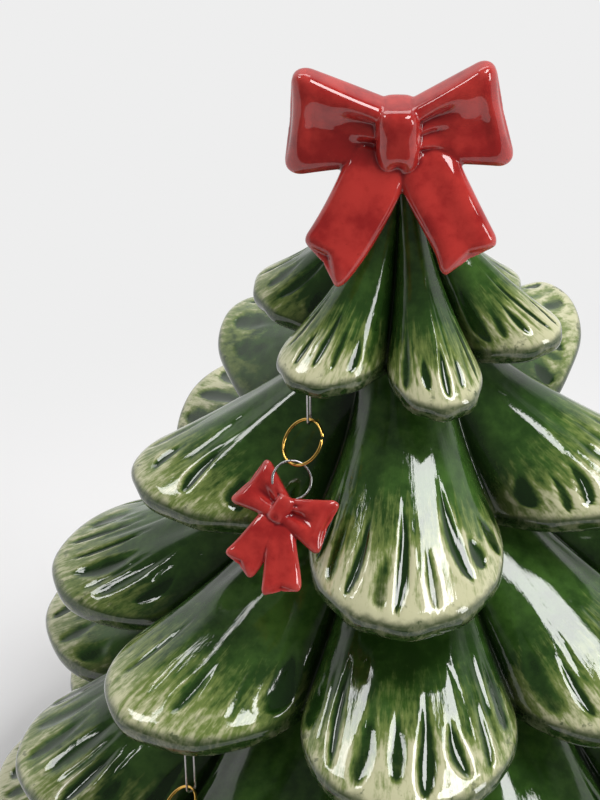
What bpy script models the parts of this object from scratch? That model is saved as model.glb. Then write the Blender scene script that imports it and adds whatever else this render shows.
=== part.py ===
"""Glazed ceramic christmas tree figurine with a red bow on top and small bow charms on wire rings.

Units are metres, +Z is up, and the origin is the centre of the foot, on the surface that it stands on.
The front, with azimuth 0, faces -Y, and azimuths grow towards +X.
"""

import math

import bmesh
import bpy
from mathutils import Matrix, Vector

# Tree body: radii are shares of the lowest tier's, and heights are measured down from the apex of the crown
APEX_HEIGHT = 0.176
TREE_RADIUS = 0.0955  # at the tips of the lowest tier
COLUMNS = 96  # mesh columns around the tree
TOP_STEPS = (0.0, 0.16, 0.45, 0.76, 1.0)  # mesh rows down a bough's upper face, from root to rim
RIM_STEPS = (45, 90)  # mesh rows around its rolled rim, in degrees
GROOVE_DEPTH = 0.0011  # carved flutes that fan out over each bough
FLUTE_START = 0.25  # share of the way down a bough where its flutes begin
FLUTE_DEEPENS = 0.4  # share of it over which they deepen
FLUTE_END = 0.85  # share of it where they start to run out
FLUTE_FADE = 0.6  # share of their depth that they lose by the rim
FLUTE_ANGLE = 16  # creases sharper than this show as flutes
CROWN_POINT = 0.0012  # the crown's point above its first row
BOUGH_POWER = 1.9  # how square a bough's edge is at its tip, seen from above
CREASE_SAG = 0.0008  # how far the edge hangs lower in the creases between boughs than at their tips
CREASE_RIM = 0.45  # share of the rim's thickness that is left in the creases
# The tiers, from the top down: the radius at the tips of the boughs, in the creases between them, and where they
# leave the tier above
TIER_TIPS = tuple(TREE_RADIUS * share for share in (0.356, 0.618, 0.822, 0.942, 1.0))
TIER_CREASES = tuple(TREE_RADIUS * share for share in (0.173, 0.309, 0.529, 0.670, 0.817))
TIER_ROOTS = tuple(TREE_RADIUS * share for share in (0.042, 0.157, 0.272, 0.471, 0.618))
TIER_ROOT_DROPS = (-0.0080, 0.0350, 0.0680, 0.1000, 0.1310)
TIER_DROPS = (0.0300, 0.0640, 0.0940, 0.1265, 0.1560)  # of the tips below the apex
TIER_RIMS = (0.0048, 0.0064, 0.0068, 0.0068, 0.0070)  # thickness of the rolled rim
TIER_SINKS = (0.0015, 0.0020, 0.0020, 0.0020, 0.0020)  # how deep the valleys between boughs are pressed in
TIER_FLARES = (0.56, 0.84, 0.82, 0.84, 0.88)  # below 1 the boughs hang like a bell
TIER_POINTS = (0.80, 1.05, 0.66, 0.66, 0.60)  # how pointed the boughs are, 0.5 is half an ellipse
TIER_HEADINGS = (
    (-40, 17, 75, 138, 192, 246),
    (-76, 1, 78, 145, 182, 218),
    (-92, -47, 1, 50, 96, 138, 175, 212),
    (-68, -23, 22, 67, 112, 157, 202, 247),
    (-90, -54, -18, 18, 54, 90, 126, 162, 198, 234),
)
# How far single tips hang lower than their tier's, by tier and place in the list above
LOW_TIPS = {(0, 1): 0.0025, (0, 2): -0.0010, (0, 3): 0.0030, (0, 5): -0.0020, (1, 0): -0.0035,
            (1, 1): 0.0020, (1, 2): -0.0030, (1, 3): -0.0140, (1, 5): -0.0110, (2, 0): 0.0012, (2, 2): 0.0020,
            (2, 7): -0.0120}
TIERS = tuple(
    dict(boughs=tuple((heading, LOW_TIPS.get((k, n), 0.0)) for n, heading in enumerate(TIER_HEADINGS[k])),
         tip=TIER_TIPS[k], crease=TIER_CREASES[k], drop=TIER_DROPS[k], root=TIER_ROOTS[k],
         root_drop=TIER_ROOT_DROPS[k], rim=TIER_RIMS[k], sink=TIER_SINKS[k], flare=TIER_FLARES[k],
         point=TIER_POINTS[k])
    for k in range(len(TIER_TIPS))
)
FOOT_RADIUS = TREE_RADIUS * 0.754
FOOT_HEIGHT = 0.0090
FOOT_RING_WIDTH = 0.0060  # unglazed ring that the tree stands on
WALL = 0.0045  # slip-cast wall where it is thinnest, at the roots of the boughs
HOLLOW_STEPS = 24
CUT_MARGIN = 0.0020  # how far a cutter runs past the face that it opens

# Top bow
BOW_SEAT_GAP = 0.0003
KNOT_RISE = 0.0142  # knot centre above the apex
KNOT_FORWARD = 0.0050
KNOT_SIZE = (0.0096, 0.0098, 0.0122)
LOOP_REACHES = (0.0226, 0.0214)
LOOP_ANGLES = (7, 13)  # how far the left and the right loop point up
LOOP_ROOT_HEIGHT = 0.0150
LOOP_END_HEIGHT = 0.0238
LOOP_THICKNESS = 0.0080
TAIL_SPLAYS = (28, 22)
TAIL_WIDTHS = (0.0120, 0.0134)
TAIL_THICKNESS = 0.0050
TAIL_NOTCH = 0.0034
TAIL_SLANT = 0.0042  # how much shorter a tail is at its outer corner

# Charms: staple, jump ring, wire eye and small bow, hung under the boughs named by tier and azimuth
STAPLE_WIRE = 0.00055
STAPLE_WIDTH = 0.0022
STAPLE_CORNER = 0.0005  # size of the bend between a leg and the bar
STAPLE_SOCKET = 0.0025  # depth of the sockets that its legs are set in
SOCKET_GAP = 0.0003
RING_WIRE = 0.00065
RING_DIAMETER = 0.0104
RING_TURN = 22  # how far the ring is turned up off the boughs, about the line of the chain
RING_SPLIT = 78  # where the ring is open, in degrees from its top
RING_OPENING = 10
EYE_WIRE = 0.0005
EYE_TURN = 25  # how far the eye is turned the other way
EYE_DIAMETER = 0.0084
EYE_ARC = 300  # how much of a circle the eye's loop is, in degrees
EYE_LEG_HEIGHT = 0.0014  # how far above the middle of the knot the eye's legs end, inside it
EYE_LEG_SPREAD = 0.0009
LINK_GAP = 0.0002
KNOT_OVERLAP = 0.0003  # how far the eye's lowest point reaches down into the knot's height
BOUGH_GAP = 0.0007  # between a lying charm and the boughs below it
CHARM_WIDTH = 0.0210
CHARM_KNOT = (0.0046, 0.0046, 0.0056)


def remove_everything():
    for item in list(bpy.data.objects):
        bpy.data.objects.remove(item)


def place(radius, azimuth, height):
    """Point at a radius, an azimuth in degrees and a height."""
    a = math.radians(azimuth)
    return Vector((radius * math.sin(a), -radius * math.cos(a), height))


def smooth(x):
    x = min(1.0, max(0.0, x))
    return x * x * (3 - 2 * x)


def bough_columns(tier):
    """For each mesh column of a tier: its azimuth, its place across its bough, -1 to 1, its groove and drop."""
    boughs = tier["boughs"]
    count = len(boughs)
    pairs = COLUMNS // 2
    shares = [2 * ((i + 1) * pairs // count - i * pairs // count) for i in range(count)]
    centres = [azimuth for azimuth, extra in boughs]
    after = centres[1:] + [centres[0] + 360]
    before = [centres[-1] - 360] + centres[:-1]
    found = []
    for i in range(count):
        low = (before[i] + centres[i]) / 2
        high = (centres[i] + after[i]) / 2
        half = shares[i] // 2
        for step in range(-half, half):
            across = step / half
            edge = low if across < 0 else high
            azimuth = centres[i] + (edge - centres[i]) * abs(across)
            groove = 1.0 if step % 2 and abs(step) < half - 1 else 0.0
            extra = boughs[i][1] * (1 - across**2)
            found.append((azimuth, across, groove, extra))
    # the column nearest to the front becomes the first
    first = min(range(COLUMNS), key=lambda k: abs(found[k][0]))
    return found[first:] + found[:first]


def tier_profile(tier, across, groove, extra):
    """Radius and height points down one column of a tier, from its root over the rim to the underside."""
    full = max(0.0, 1 - abs(across) ** BOUGH_POWER) ** tier["point"]
    rim_radius = tier["crease"] + (tier["tip"] - tier["crease"]) * full
    rim_height = APEX_HEIGHT - tier["drop"] - extra - CREASE_SAG * (1 - full)
    root_height = APEX_HEIGHT - tier["root_drop"]
    points = []
    for t in TOP_STEPS:
        radius = tier["root"] + (rim_radius - tier["root"]) * t
        height = root_height + (rim_height - root_height) * t ** tier["flare"]
        pressed = tier["sink"] * (1 - full) * math.sin(math.pi * t**0.8)
        fade = FLUTE_FADE * smooth((t - FLUTE_END) / (1 - FLUTE_END))
        deep = smooth((t - FLUTE_START) / FLUTE_DEEPENS) * (1 - fade)
        carved = GROOVE_DEPTH * groove * deep
        radius -= 0.6 * (pressed + carved)
        height -= 0.8 * (pressed + carved)
        points.append((radius, height))
    rim = tier["rim"] * (CREASE_RIM + (1 - CREASE_RIM) * full)
    for turn in RIM_STEPS:
        a = math.radians(turn)
        points.append((rim_radius - 0.75 * rim * (1 - math.cos(a)), rim_height - rim * math.sin(a)))
    return points


def sheet_rows(tiers, grow=0.0):
    """Rows of points, top to bottom, of the boughs' outer face, grown outwards by a clearance."""
    rows = []
    for tier in tiers:
        columns = bough_columns(tier)
        profiles = [tier_profile(tier, *column[1:]) for column in columns]
        for k in range(len(profiles[0])):
            row = []
            for column, profile in zip(columns, profiles):
                radius, height = profile[k]
                row.append(place(radius + grow, column[0], height + grow))
            rows.append(row)
    return rows


def ring_row(radius, height, columns):
    return [place(radius, column[0], height) for column in columns]


def mesh_from_rows(name, rows, top, bottom):
    """Closed mesh from rows of points, with a point above the first row and one below the last."""
    mesh = bpy.data.meshes.new(name)
    bm = bmesh.new()
    grid = [[bm.verts.new(p) for p in row] for row in rows]
    count = len(rows[0])
    for upper, lower in zip(grid, grid[1:]):
        for k in range(count):
            n = (k + 1) % count
            bm.faces.new((upper[k], lower[k], lower[n], upper[n]))
    head = bm.verts.new(top)
    tail = bm.verts.new(bottom)
    for k in range(count):
        n = (k + 1) % count
        bm.faces.new((head, grid[0][k], grid[0][n]))
        bm.faces.new((tail, grid[-1][n], grid[-1][k]))
    bmesh.ops.recalc_face_normals(bm, faces=bm.faces)
    bm.to_mesh(mesh)
    bm.free()
    return bpy.data.objects.new(name, mesh)


def add_to(collection, item):
    collection.objects.link(item)
    return item


def apply_boolean(item, cutter, operation):
    """Join or cut an object at once, and remove the other one."""
    modifier = item.modifiers.new(operation.lower(), "BOOLEAN")
    modifier.operation = operation
    modifier.object = cutter
    bpy.context.view_layer.update()
    graph = bpy.context.evaluated_depsgraph_get()
    mesh = bpy.data.meshes.new_from_object(item.evaluated_get(graph))
    item.modifiers.clear()
    item.data = mesh
    bpy.data.objects.remove(cutter)
    return item


def finish(item, material, sharp=40):
    item.data.materials.clear()
    item.data.materials.append(material)
    item.data.shade_smooth()
    item.data.set_sharp_from_angle(angle=math.radians(sharp))
    return item


def make_material(name, colour, roughness, metallic=0.0):
    material = bpy.data.materials.new(name)
    material.use_nodes = True
    shader = material.node_tree.nodes["Principled BSDF"]
    shader.inputs["Base Color"].default_value = (*colour, 1)
    shader.inputs["Roughness"].default_value = roughness
    shader.inputs["Metallic"].default_value = metallic
    return material


def turned_solid(name, profile, steps):
    """Closed solid of revolution from a profile of radius and height, listed from the top down."""
    rows = [[place(radius, 360 * k / steps, height) for k in range(steps)] for radius, height in profile[1:-1]]
    top = Vector((0, 0, profile[0][1]))
    bottom = Vector((0, 0, profile[-1][1]))
    return mesh_from_rows(name, rows, top, bottom)


def make_tree_body(parts, tools, material, sockets):
    """Slip-cast tree: one folded skin over all tiers, standing on a foot ring, hollow and open below."""
    last = bough_columns(TIERS[-1])
    rows = sheet_rows(TIERS)
    rows.append(ring_row(FOOT_RADIUS, FOOT_HEIGHT, last))
    rows.append(ring_row(FOOT_RADIUS, 0.0, last))
    top = Vector((0, 0, APEX_HEIGHT - TIERS[0]["root_drop"] + CROWN_POINT))
    body = add_to(parts, mesh_from_rows("tree_body", rows, top, Vector((0, 0, 0))))

    mouth = FOOT_RADIUS - FOOT_RING_WIDTH
    profile = [(0.0, APEX_HEIGHT - TIERS[1]["root_drop"] + WALL)]
    for tier in TIERS[1:]:
        profile.append((tier["root"] - WALL, APEX_HEIGHT - tier["root_drop"]))
    profile.append((mouth, FOOT_HEIGHT))
    profile.append((mouth, -CUT_MARGIN))
    profile.append((0.0, -CUT_MARGIN))
    hollow = add_to(tools, turned_solid("hollow", profile, HOLLOW_STEPS))
    apply_boolean(body, hollow, "DIFFERENCE")
    for socket in sockets:
        apply_boolean(body, add_to(tools, socket), "DIFFERENCE")
    return finish(body, material, FLUTE_ANGLE)


def loft(name, rings):
    """Closed mesh through rings of points, with a point in the middle of each end."""
    ends = [sum(ring, Vector()) / len(ring) for ring in (rings[0], rings[-1])]
    return mesh_from_rows(name, rings, ends[0], ends[1])


def ribbon(name, path, side, normal, widths, thicknesses, notch, slant, pleats, around):
    """Puffed length of ribbon: oval sections along a path, pleated on the front, with a swallow-tail notch."""
    rings = []
    count = len(path)
    for k, centre in enumerate(path):
        along = (path[min(k + 1, count - 1)] - path[max(k - 1, 0)]).normalized()
        share = k / (count - 1)
        ring = []
        for m in range(around):
            turn = 2 * math.pi * m / around
            across = math.copysign(abs(math.cos(turn)) ** 0.8, math.cos(turn))
            depth = math.copysign(abs(math.sin(turn)) ** 0.9, math.sin(turn))
            if depth > 0:
                depth *= 1 - pleats * (0.5 - 0.5 * math.cos(4 * math.pi * across)) * math.sin(math.pi * share)
            back = (notch * (1 - abs(across)) + slant * (1 + across) / 2) * smooth((share - 0.6) / 0.4)
            ring.append(centre + side[k] * across * widths[k] / 2 + normal[k] * depth * thicknesses[k] / 2
                        - along * back)
        rings.append(ring)
    return loft(name, rings)


def make_bow(name, collection, tools, size):
    """Bow of two loops, two tails and a knot, joined. It faces -Y with its knot at the origin."""
    root_height, end_height = size["root_height"], size["end_height"]
    pieces = []
    hands = zip((-1, 1), size["reaches"], size["loop_angles"], size["tail_splays"])
    for hand, reach, loop_angle, tail_splay in hands:
        angle = math.radians(loop_angle)
        out = Vector((hand * math.cos(angle), 0, math.sin(angle)))
        path, side, normal, widths, thicknesses = [], [], [], [], []
        for s in size["loop_shares"]:
            bend = size["loop_bend"] * math.sin(math.pi * min(s, 1) * 0.5)
            path.append(out * reach * s + Vector((0, bend, 0)))
            side.append(Vector((-hand * math.sin(angle), 0, math.cos(angle))))
            normal.append(Vector((0, -1, 0)))
            closing = math.sqrt(max(0.0, 1 - max(0.0, (s - 0.76) / 0.24) ** 2))
            widths.append((root_height + (end_height - root_height) * s) * (0.66 + 0.34 * closing))
            thicknesses.append(size["loop_thickness"] * (0.70 + 0.30 * math.sin(math.pi * s**0.8))
                               * (0.30 + 0.70 * closing))
        pieces.append(ribbon(f"{name}_loop", path, side, normal, widths, thicknesses, 0.0, 0.0, size["pleats"],
                             size["around"]))
        start = Vector((hand * size["tail_start"], 0, -0.3 * size["knot"][2]))
        path, side, normal, widths, thicknesses = [], [], [], [], []
        for s in size["tail_shares"]:
            lean = math.radians(size["tail_lean"])
            splay = math.radians(tail_splay)
            down = Vector((hand * math.sin(splay), -math.cos(splay) * math.sin(lean),
                           -math.cos(splay) * math.cos(lean)))
            path.append(start + down * size["tail_length"] * s)
            face = Vector((0, -math.cos(lean), math.sin(lean)))
            outward = face.cross(down).normalized() * -hand
            side.append(outward if outward.x * hand > 0 else -outward)
            normal.append((face - down * face.dot(down)).normalized())
            widths.append(size["tail_widths"][0] + (size["tail_widths"][1] - size["tail_widths"][0]) * s ** 0.8)
            thicknesses.append(size["tail_thickness"] * (0.75 + 0.25 * math.sin(math.pi * s)))
        pieces.append(ribbon(f"{name}_tail", path, side, normal, widths, thicknesses, size["tail_notch"],
                             size["tail_slant"], 0.0, size["tail_around"]))
    knot_rings = []
    width, depth, height = size["knot"]
    for k in range(size["knot_rings"]):
        up = math.pi * (k + 0.6) / (size["knot_rings"] + 0.2)
        rise = math.copysign(abs(math.cos(up)) ** 0.6, math.cos(up))
        wide = math.sin(up) ** 0.45
        ring = []
        for m in range(size["knot_around"]):
            turn = 2 * math.pi * m / size["knot_around"]
            x = math.copysign(abs(math.cos(turn)) ** 0.7, math.cos(turn))
            y = math.copysign(abs(math.sin(turn)) ** 0.7, math.sin(turn))
            ring.append(Vector((x * wide * width / 2, y * wide * depth / 2, rise * height / 2)))
        knot_rings.append(ring)
    bow = add_to(collection, loft(name, knot_rings))
    for piece in pieces:
        apply_boolean(bow, add_to(tools, piece), "UNION")
    return bow


TOP_BOW = dict(
    reaches=LOOP_REACHES, root_height=LOOP_ROOT_HEIGHT, end_height=LOOP_END_HEIGHT, loop_angles=LOOP_ANGLES,
    loop_thickness=LOOP_THICKNESS, loop_bend=0.0015, loop_shares=(0.06, 0.30, 0.54, 0.76, 0.90, 0.97, 1.0),
    pleats=0.35, around=16, tail_start=0.0020, tail_length=0.0275, tail_lean=34, tail_splays=TAIL_SPLAYS,
    tail_widths=TAIL_WIDTHS, tail_thickness=TAIL_THICKNESS, tail_notch=TAIL_NOTCH, tail_slant=TAIL_SLANT,
    tail_shares=(0.0, 0.3, 0.6, 0.85, 1.0), tail_around=12, knot=KNOT_SIZE, knot_rings=6, knot_around=12,
)

CHARM_BOW = dict(
    reaches=(CHARM_WIDTH / 2, CHARM_WIDTH / 2), root_height=0.0050, end_height=0.0104, loop_angles=(10, 10),
    loop_thickness=0.0040, loop_bend=0.0004, loop_shares=(0.10, 0.40, 0.72, 1.0), pleats=0.25, around=8,
    tail_start=0.0012, tail_length=0.0160, tail_lean=4, tail_splays=(-2, 42), tail_widths=(0.0048, 0.0070),
    tail_thickness=0.0026, tail_notch=0.0016, tail_slant=0.0008, tail_shares=(0.0, 0.55, 1.0), tail_around=6,
    knot=CHARM_KNOT, knot_rings=4, knot_around=6,
)

# Each charm: tier it hangs under, azimuth of its staple, how far in from the tips of the tier and how far below them
# the staple's bar is, the heading of its chain, how far the staple is turned off the radius, and how far the bow
# tilts clockwise on its chain
CHARMS = (
    dict(name="1", tier=0, azimuth=-41, inset=0.0050, hang=0.0125, heading=-21, turn=28, tilt=18),
    dict(name="2", tier=2, azimuth=-38, inset=0.0080, hang=0.0165, heading=-40, turn=-8, tilt=12),
    dict(name="3", tier=0, azimuth=193, inset=0.0050, hang=0.0100, heading=201, turn=10, tilt=10),
    dict(name="4", tier=1, azimuth=172, inset=0.0080, hang=0.0120, heading=165, turn=0, tilt=16),
    dict(name="5", tier=2, azimuth=137, inset=0.0105, hang=0.0140, heading=133, turn=12, tilt=8),
    dict(name="6", tier=2, azimuth=90, inset=0.0105, hang=0.0140, heading=88, turn=-12, tilt=14),
)


def circle_points(centre, along, across, radius, start, end, steps):
    """Points on an arc: 0 degrees points up the chain, against along, and 90 degrees along across."""
    points = []
    for k in range(steps + 1):
        a = math.radians(start + (end - start) * k / steps)
        points.append(centre - along * radius * math.cos(a) + across * radius * math.sin(a))
    return points


def wire(name, collection, points, diameter, closed=False):
    """Round wire through points, as a mesh with its end caps welded on."""
    curve = bpy.data.curves.new(name, "CURVE")
    curve.dimensions = "3D"
    curve.bevel_depth = diameter / 2
    curve.bevel_resolution = 1
    curve.use_fill_caps = not closed
    spline = curve.splines.new("POLY")
    spline.points.add(len(points) - 1)
    for point, position in zip(spline.points, points):
        point.co = (*position, 1)
    spline.use_cyclic_u = closed
    guide = bpy.data.objects.new(name + "_curve", curve)
    collection.objects.link(guide)
    bpy.context.view_layer.update()
    graph = bpy.context.evaluated_depsgraph_get()
    mesh = bpy.data.meshes.new_from_object(guide.evaluated_get(graph))
    bpy.data.objects.remove(guide)
    bm = bmesh.new()
    bm.from_mesh(mesh)
    bmesh.ops.remove_doubles(bm, verts=bm.verts, dist=1e-6)
    bmesh.ops.recalc_face_normals(bm, faces=bm.faces)
    bm.to_mesh(mesh)
    bm.free()
    item = bpy.data.objects.new(name, mesh)
    collection.objects.link(item)
    return item


def sheet_samples(tiers):
    """Points of the boughs' outer face, with one more halfway to the next row and to the next column."""
    rows = sheet_rows(tiers)
    for row, below in zip(rows, rows[1:]):
        for k, point in enumerate(row):
            yield point
            yield (point + below[k]) / 2
            yield (point + row[(k + 1) % len(row)]) / 2


def lying_slope(charm, hook, ahead, aside):
    """Angle below level, in radians, at which a chain from the hook lies clear of the boughs below it."""
    clear = CHARM_KNOT[1] / 2 + BOUGH_GAP
    reach = RING_DIAMETER + EYE_DIAMETER + CHARM_BOW["tail_length"] + CHARM_KNOT[2]
    slope = math.radians(80)
    for point in sheet_samples(TIERS[charm["tier"] + 1:]):
        offset = point - hook
        distance = math.hypot(offset.dot(ahead), offset.z)
        beside = abs(offset.dot(aside)) > CHARM_WIDTH / 2
        if offset.dot(ahead) > 0 and 2 * clear < distance < reach and not beside:
            slope = min(slope, math.atan2(-offset.z, offset.dot(ahead)) - math.asin(clear / distance))
    return slope


def charm_frame(charm):
    """Places of one charm's links, and the directions down its chain, off the boughs and across them."""
    turn = Matrix.Rotation(math.radians(charm["heading"]), 3, "Z")
    tier = TIERS[charm["tier"]]
    bar = place(tier["tip"] - charm["inset"], charm["azimuth"], APEX_HEIGHT - tier["drop"] - charm["hang"])
    hook = bar + Vector((0, 0, (RING_WIRE + STAPLE_WIRE) / 2 + LINK_GAP))
    slope = lying_slope(charm, hook, turn @ Vector((0, -1, 0)), turn @ Vector((1, 0, 0)))
    along = turn @ Vector((0, -math.cos(slope), -math.sin(slope)))
    ring_radius = (RING_DIAMETER - RING_WIRE) / 2
    ring_centre = hook + along * ring_radius
    return dict(
        bar=bar,
        hook=hook,
        ring_centre=ring_centre,
        ring_bottom=ring_centre + along * ring_radius,
        along=along,
        normal=turn @ Vector((0, -math.sin(slope), math.cos(slope))),
        side=turn @ Vector((1, 0, 0)),
    )


def staple_points(charm, frame):
    """Legs up into the bough and a bar across below it."""
    facing = math.radians(charm["azimuth"] + charm["turn"])
    half = Vector((math.sin(facing), -math.cos(facing), 0)) * STAPLE_WIDTH / 2
    rim = TIERS[charm["tier"]]["rim"]
    up = Vector((0, 0, charm["hang"] - 0.8 * rim + STAPLE_SOCKET))
    corner = Vector((0, 0, STAPLE_CORNER))
    bar = frame["bar"]
    return [bar - half + up, bar - half + corner, bar - half * 0.6, bar + half * 0.6, bar + half + corner,
            bar + half + up]


def make_sockets(charm):
    """Two closed tubes that cut the staple's sockets, a clearance wider and longer than its legs."""
    frame = charm_frame(charm)
    points = staple_points(charm, frame)
    found = []
    for k, (low, high) in enumerate(((points[1], points[0]), (points[4], points[5]))):
        top = high + Vector((0, 0, SOCKET_GAP))
        bottom = low + Vector((0, 0, STAPLE_WIRE))
        radius = STAPLE_WIRE / 2 + SOCKET_GAP
        rings = []
        for centre in (top, bottom):
            rings.append([centre + Vector((math.cos(math.radians(45 * m + 20)), math.sin(math.radians(45 * m + 20)),
                                           0)) * radius for m in range(8)])
        found.append(loft(f"socket_{charm['name']}_{k}", rings))
    return found


def make_charm(parts, tools, charm, materials):
    """Staple, split jump ring, wire eye and bow of one charm, as they hang along the slope of the boughs."""
    name = charm["name"]
    frame = charm_frame(charm)
    along, normal, side = frame["along"], frame["normal"], frame["side"]

    staple = wire(f"staple_{name}", parts, staple_points(charm, frame), STAPLE_WIRE)
    finish(staple, materials["silver_wire"], 60)

    ring_radius = (RING_DIAMETER - RING_WIRE) / 2
    ring_turn = math.radians(RING_TURN)
    ring_across = side * math.cos(ring_turn) + normal * math.sin(ring_turn)
    ring_end = RING_SPLIT + 360 - RING_OPENING
    ring_points = circle_points(frame["ring_centre"], along, ring_across, ring_radius, RING_SPLIT, ring_end, 16)
    ring = wire(f"jump_ring_{name}", parts, ring_points, RING_WIRE)
    finish(ring, materials["gold_wire"], 60)

    eye_radius = (EYE_DIAMETER - EYE_WIRE) / 2
    link = (RING_WIRE + EYE_WIRE) / 2 + LINK_GAP
    eye_centre = frame["ring_bottom"] + along * (eye_radius - link)
    eye_turn = math.radians(EYE_TURN)
    eye_across = side * math.cos(eye_turn) - normal * math.sin(eye_turn)
    knot_centre = eye_centre + along * (eye_radius + CHARM_KNOT[2] / 2 - KNOT_OVERLAP)
    arc = circle_points(eye_centre, along, eye_across, eye_radius, -EYE_ARC / 2, EYE_ARC / 2, 12)
    tilt = math.radians(charm["tilt"])
    down = along * math.cos(tilt) - side * math.sin(tilt)
    right = side * math.cos(tilt) + along * math.sin(tilt)
    legs = [knot_centre - down * EYE_LEG_HEIGHT - right * EYE_LEG_SPREAD,
            knot_centre - down * EYE_LEG_HEIGHT + right * EYE_LEG_SPREAD]
    eye_points = [legs[0]] + arc + [legs[1]]
    eye = wire(f"charm_eye_{name}", parts, eye_points, EYE_WIRE)
    finish(eye, materials["silver_wire"], 60)

    bow = make_bow(f"charm_bow_{name}", parts, tools, CHARM_BOW)
    turn = Matrix((right, -normal, -down)).transposed().to_4x4()
    bow.data.transform(Matrix.Translation(knot_centre) @ turn)
    for k, pair in enumerate((eye_points[:3], eye_points[-3:])):
        cutter = wire(f"eye_hole_{name}_{k}", tools, pair, EYE_WIRE + 2 * SOCKET_GAP)
        apply_boolean(bow, cutter, "DIFFERENCE")
    finish(bow, materials["red_glaze"], 45)
    return ring, eye, bow


def put_origin(item, point):
    """Move an object's origin to a point, with its mesh left where it is."""
    item.data.transform(Matrix.Translation(-point))
    item.location = point


def main():
    remove_everything()
    parts = bpy.data.collections.new("christmas_tree_figurine")
    tools = bpy.data.collections.new("cutters")
    bpy.context.scene.collection.children.link(parts)
    bpy.context.scene.collection.children.link(tools)
    materials = {
        "green_glaze": make_material("green_glaze", (0.045, 0.105, 0.020), 0.12),
        "red_glaze": make_material("red_glaze", (0.42, 0.020, 0.022), 0.12),
        "gold_wire": make_material("gold_wire", (0.80, 0.48, 0.12), 0.22, 1.0),
        "silver_wire": make_material("silver_wire", (0.62, 0.61, 0.60), 0.28, 1.0),
    }

    sockets = []
    for charm in CHARMS:
        sockets += make_sockets(charm)
    make_tree_body(parts, tools, materials["green_glaze"], sockets)

    bow = make_bow("top_bow", parts, tools, TOP_BOW)
    bow.data.transform(Matrix.Translation((0, -KNOT_FORWARD, APEX_HEIGHT + KNOT_RISE)))
    crown = sheet_rows(TIERS[:1], BOW_SEAT_GAP)
    crown_top = APEX_HEIGHT - TIERS[0]["root_drop"] + CROWN_POINT + BOW_SEAT_GAP
    crown_bottom = APEX_HEIGHT - TIERS[0]["drop"]
    seat = mesh_from_rows("bow_seat", crown, Vector((0, 0, crown_top)), Vector((0, 0, crown_bottom)))
    apply_boolean(bow, add_to(tools, seat), "DIFFERENCE")
    finish(bow, materials["red_glaze"], 45)

    for charm in CHARMS:
        ring, eye, charm_bow = make_charm(parts, tools, charm, materials)
        frame = charm_frame(charm)
        put_origin(ring, frame["hook"])
        put_origin(eye, frame["ring_bottom"])
        put_origin(charm_bow, frame["ring_bottom"])

    for item in tools.objects:
        item.hide_render = True
        item.display_type = "WIRE"


main()
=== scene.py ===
import math

import bpy
import numpy as np
from mathutils import Matrix, Vector


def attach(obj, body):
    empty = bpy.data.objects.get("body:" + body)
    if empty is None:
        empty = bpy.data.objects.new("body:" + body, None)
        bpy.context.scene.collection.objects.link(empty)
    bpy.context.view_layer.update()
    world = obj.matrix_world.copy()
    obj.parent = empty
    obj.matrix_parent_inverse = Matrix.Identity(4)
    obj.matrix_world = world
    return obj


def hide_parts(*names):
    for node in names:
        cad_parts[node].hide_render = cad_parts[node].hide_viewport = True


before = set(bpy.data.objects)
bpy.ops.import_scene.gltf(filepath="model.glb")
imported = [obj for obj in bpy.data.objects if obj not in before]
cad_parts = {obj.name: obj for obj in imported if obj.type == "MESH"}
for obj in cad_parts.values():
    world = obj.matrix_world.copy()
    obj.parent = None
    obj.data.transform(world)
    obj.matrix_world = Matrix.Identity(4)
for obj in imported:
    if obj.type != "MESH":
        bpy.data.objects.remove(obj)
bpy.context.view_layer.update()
scene = bpy.context.scene
scene.view_settings.view_transform = "Standard"


# Camera: it stands camera_distance from the point at aim_height on the tree's axis and looks down at the upper half
# of the tree, as the photograph does. The shift puts the axis right of the middle of the picture.
aim_height = 0.207
camera_rise = math.radians(24.75)
camera_pitch = math.radians(30.93)
camera_distance = 0.497
camera = bpy.data.objects.new("camera", bpy.data.cameras.new("camera"))
scene.collection.objects.link(camera)
camera.location = (0, -camera_distance * math.cos(camera_rise), aim_height + camera_distance * math.sin(camera_rise))
camera.rotation_euler = (math.pi / 2 - camera_pitch, 0, 0)
camera.data.sensor_fit = "VERTICAL"
camera.data.sensor_height = 36
camera.data.lens = 114.0
camera.data.shift_x = -0.129
camera.data.shift_y = -0.1
camera.data.clip_start = 0.01
scene.camera = camera


# Studio: a pale floor that runs into a pale background. A large soft panel overhead at the right gives the long
# bright reflections on the boughs, a small one lights the left, a wide one behind lights the upper edges of the
# bows, and a strip stands low at the right.
def lamp(name, place, target_height, size, power):
    light = bpy.data.lights.new(name, "AREA")
    light.shape = "RECTANGLE"
    light.size, light.size_y = size
    light.energy = power
    item = bpy.data.objects.new(name, light)
    scene.collection.objects.link(item)
    item.location = place
    item.rotation_euler = (Vector((0, 0, target_height)) - Vector(place)).to_track_quat("-Z", "Y").to_euler()


lamp("panel_right", (0.40, -0.14, 1.00), 0.12, (0.50, 0.36), 6.6)
lamp("panel_left", (-0.62, 0.12, 0.92), 0.12, (0.24, 0.26), 1.7)
lamp("panel_back", (-0.10, 0.62, 0.98), 0.14, (0.90, 0.34), 3.0)
lamp("strip_right", (0.85, -0.30, 0.42), 0.14, (0.18, 0.46), 2.4)


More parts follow.
